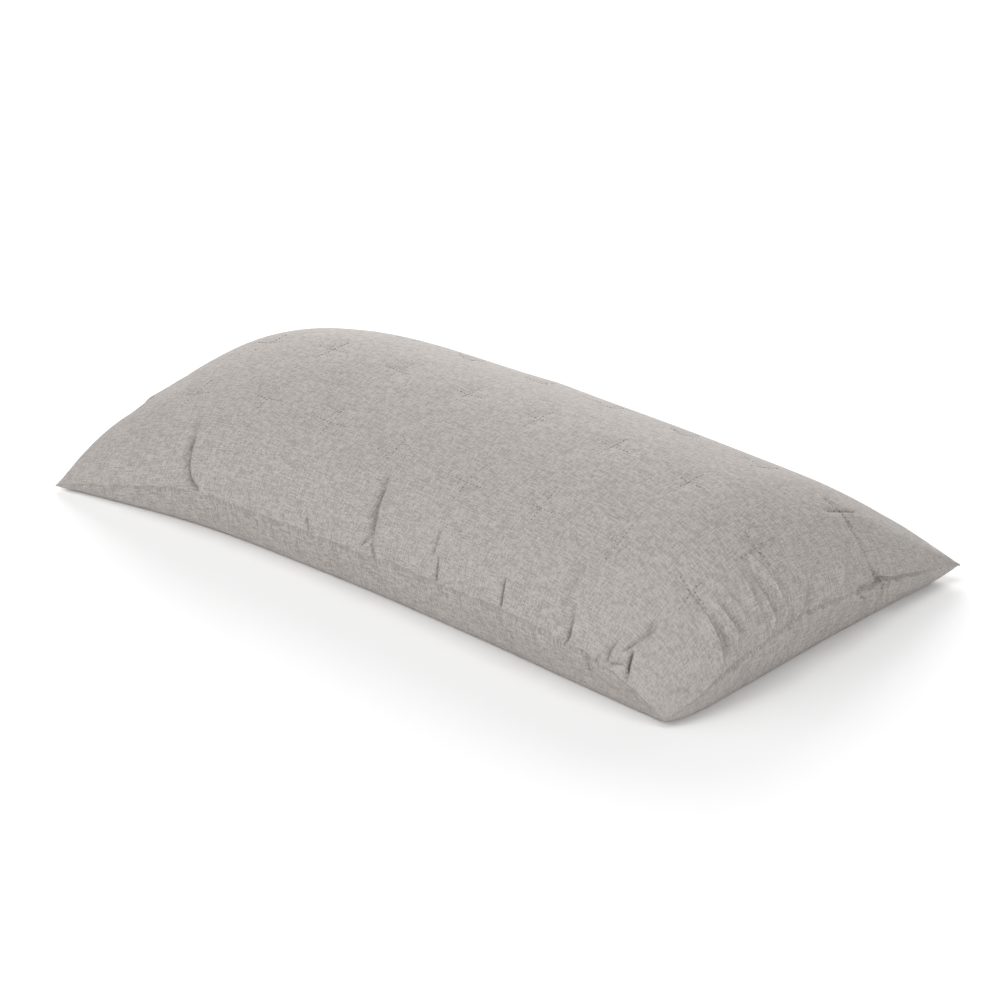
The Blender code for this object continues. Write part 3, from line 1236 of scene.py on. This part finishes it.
class PILLOW_OT_stage(Operator):
    """Set up the floor, the lights and the camera"""

    bl_idname = "pillow.stage"
    bl_label = "Stage"

    def execute(self, context):
        stage = context.scene.pillow_stage
        self.lay_floor(stage)
        self.hang_lights(context.scene, stage)
        self.place_camera(context.scene, stage)
        return {"FINISHED"}

    def lay_floor(self, stage):
        deselect_all()
        bpy.ops.mesh.primitive_plane_add(size=FLOOR_SIZE, location=(0, 0, 0))
        floor = bpy.context.object
        floor.name = "floor"
        material = bpy.data.materials.new("plain_floor")
        material.use_nodes = True
        shader = material.node_tree.nodes["Principled BSDF"]
        shader.inputs["Base Color"].default_value = colour(stage.floor_colour)
        shader.inputs["Roughness"].default_value = FLOOR_ROUGHNESS
        floor.data.materials.append(material)

    def hang_lights(self, scene, stage):
        world = bpy.data.worlds.new("studio")
        world.use_nodes = True
        background = world.node_tree.nodes["Background"]
        background.inputs["Color"].default_value = (1.0, 1.0, 1.0, 1.0)
        background.inputs["Strength"].default_value = stage.fill_light
        scene.world = world
        scene.view_settings.view_transform = "Standard"
        for box in SOFTBOXES:
            area_light(box, stage)

    def place_camera(self, scene, stage):
        back = direction(stage.azimuth, stage.elevation)
        camera = bpy.data.objects.new("camera", bpy.data.cameras.new("camera"))
        camera.location = Vector(AIM) + back * stage.distance
        camera.rotation_euler = back.to_track_quat("Z", "Y").to_euler()
        camera.data.lens = stage.lens
        camera.data.sensor_width = SENSOR_WIDTH
        camera.data.shift_x, camera.data.shift_y = CAMERA_SHIFT
        bpy.context.collection.objects.link(camera)
        scene.camera = camera


class PILLOW_PT_panel(Panel):
    """The pillow's pieces and settings"""

    bl_idname = "PILLOW_PT_panel"
    bl_label = "Lumbar pillow"
    bl_space_type = "VIEW_3D"
    bl_region_type = "UI"
    bl_category = "Pillow"

    def draw(self, context):
        for operator in OPERATORS:
            self.layout.operator(operator.bl_idname)
        for name, group in SETTINGS:
            for field in group.__annotations__:
                self.layout.prop(getattr(context.scene, name), field)


OPERATORS = (PILLOW_OT_cover, PILLOW_OT_tacks, PILLOW_OT_stage)
SETTINGS = (
    ("pillow_sizes", PillowSizes),
    ("pillow_filling", FillingSettings),
    ("pillow_finish", ClothFinish),
    ("pillow_stage", StageSettings),
)


def register():
    for name, group in SETTINGS:
        bpy.utils.register_class(group)
        setattr(bpy.types.Scene, name, PointerProperty(type=group))
    for operator in OPERATORS:
        bpy.utils.register_class(operator)
    bpy.utils.register_class(PILLOW_PT_panel)


def unregister():
    bpy.utils.unregister_class(PILLOW_PT_panel)
    for operator in OPERATORS:
        bpy.utils.unregister_class(operator)
    for name, group in SETTINGS:
        delattr(bpy.types.Scene, name)
        bpy.utils.unregister_class(group)


def main():
    register()
    bpy.ops.pillow.cover()
    bpy.ops.pillow.tacks()
    bpy.ops.pillow.stage()


if __name__ == "__main__":
    main()
